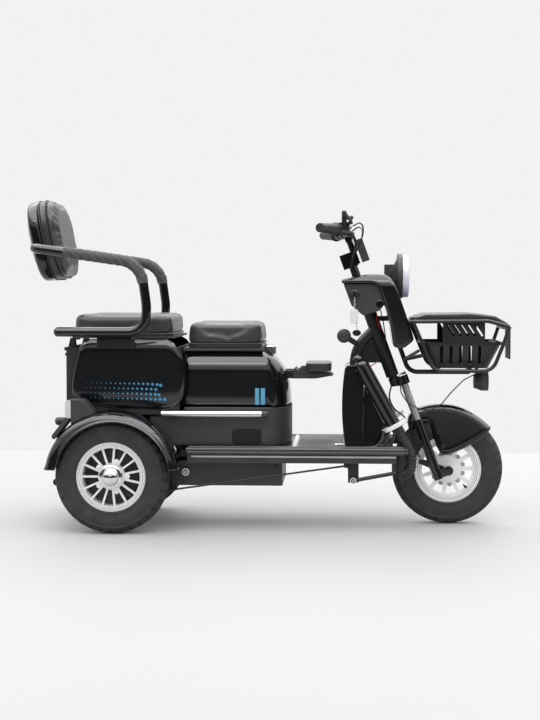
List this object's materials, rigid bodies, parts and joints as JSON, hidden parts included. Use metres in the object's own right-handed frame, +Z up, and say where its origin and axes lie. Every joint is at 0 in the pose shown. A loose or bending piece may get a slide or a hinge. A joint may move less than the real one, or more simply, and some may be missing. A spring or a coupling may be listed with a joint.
{
  "type": "three-wheeled electric scooter",
  "caption": "Electric three-wheeler with step-through floor, front and rear padded seats, armrests with a backrest, and a lidded front basket.",
  "frame": {"origin": "on the ground under the middle of the overall length and width", "axes": "+X forward, +Y to the rider's left, +Z up"},
  "size_m": [1.5424, 0.6692, 1.0262],
  "materials": {
    "tyre": "matt black rubber with a moulded tread",
    "wheel_silver": "silver painted casting",
    "frame_black": "black powder coat",
    "gloss_black": "glossy black paint",
    "matt_black": "grained black plastic",
    "seat_leather": "dark grey artificial leather",
    "wrap": "dark grey spiral wrap",
    "bright_metal": "polished metal",
    "side_silver": "satin silver tube",
    "grip_rubber": "ribbed black rubber",
    "lamp_lens": "clear moulded lens",
    "tail_lens": "grey housing with a clear ribbed lens",
    "motor_grey": "dark cast metal",
    "cable": "black cable sheath"
  },
  "bodies": {
    "frame": {"chassis_frame": "frame_black", "rear_axle": "motor_grey", "drive_motor": "motor_grey", "rear_shocks": "bright_metal", "battery_box": "matt_black", "brake_linkage": "frame_black", "floorboard": "matt_black", "lower_body": "matt_black", "front_body": "gloss_black", "rear_box": "matt_black", "rear_side_panels": "gloss_black", "side_tubes": "side_silver", "rear_fenders": "gloss_black", "tail_lights": "tail_lens", "leg_shield": "gloss_black", "guard_bars": "gloss_black", "cowl": "gloss_black", "cowl_panel": "matt_black", "headlight_housing": "matt_black", "headlight_lens": "lamp_lens", "basket_carrier": "frame_black", "basket": "matt_black", "horn": "matt_black", "armrest_frame": "frame_black", "armrest_wraps": "wrap", "backrest_shell": "gloss_black", "backrest_cushion": "seat_leather", "child_seat_arm": "matt_black", "shield_webs": "matt_black", "guard_feet": "matt_black", "bag_hook": "matt_black", "ignition_lock": "bright_metal", "front_plate": "matt_black", "horn_wire": "cable"},
    "steering": {"fork_crown": "frame_black", "fork_stanchions": "bright_metal", "fork_sliders": "frame_black", "front_fender": "gloss_black", "handlebar": "frame_black", "grips": "grip_rubber", "brake_levers": "frame_black", "display": "matt_black", "control_cables": "cable", "front_brake_arm": "frame_black", "front_brake_cable": "cable"},
    "front_wheel": {"front_tyre": "tyre", "front_rim": "wheel_silver"},
    "rear_wheel_left": {"rear_tyre_left": "tyre", "rear_rim_left": "wheel_silver"},
    "rear_wheel_right": {"rear_tyre_right": "tyre", "rear_rim_right": "wheel_silver"},
    "front_seat": {"front_seat_base": "matt_black", "front_seat_cushion": "seat_leather"},
    "rear_seat": {"rear_seat_base": "matt_black", "rear_seat_cushion": "seat_leather"},
    "child_seat": {"child_seat": "matt_black"},
    "basket_lid": {"basket_lid": "matt_black"}
  },
  "joints": [
    {"name": "steer", "type": "hinge", "parent": "frame", "child": "steering", "pos_m": [0.39816, 0, 0.48], "axis": [-0.342, 0, 0.9397], "range_deg": [-40, 40], "deforming": ["horn_wire"]},
    {"name": "front_wheel_spin", "type": "hinge", "parent": "steering", "child": "front_wheel", "pos_m": [0.57616, 0, 0.178], "axis": [0, 1, 0], "continuous": true},
    {"name": "rear_wheel_left_spin", "type": "hinge", "parent": "frame", "child": "rear_wheel_left", "pos_m": [-0.47384, 0.255, 0.178], "axis": [0, 1, 0], "continuous": true},
    {"name": "rear_wheel_right_spin", "type": "hinge", "parent": "frame", "child": "rear_wheel_right", "pos_m": [-0.47384, -0.255, 0.178], "axis": [0, 1, 0], "continuous": true},
    {"name": "front_seat_hinge", "type": "hinge", "parent": "frame", "child": "front_seat", "pos_m": [0.01216, 0, 0.568], "axis": [0, 1, 0], "range_deg": [0, 70]},
    {"name": "rear_seat_hinge", "type": "hinge", "parent": "frame", "child": "rear_seat", "pos_m": [-0.61984, 0, 0.596], "axis": [0, -1, 0], "range_deg": [0, 62]},
    {"name": "child_seat_hinge", "type": "hinge", "parent": "frame", "child": "child_seat", "pos_m": [0.11016, 0, 0.497], "axis": [0, -1, 0], "range_deg": [0, 80]},
    {"name": "basket_lid_hinge", "type": "hinge", "parent": "frame", "child": "basket_lid", "pos_m": [0.45816, 0, 0.664], "axis": [0, -1, 0], "range_deg": [0, 75]}
  ]
}
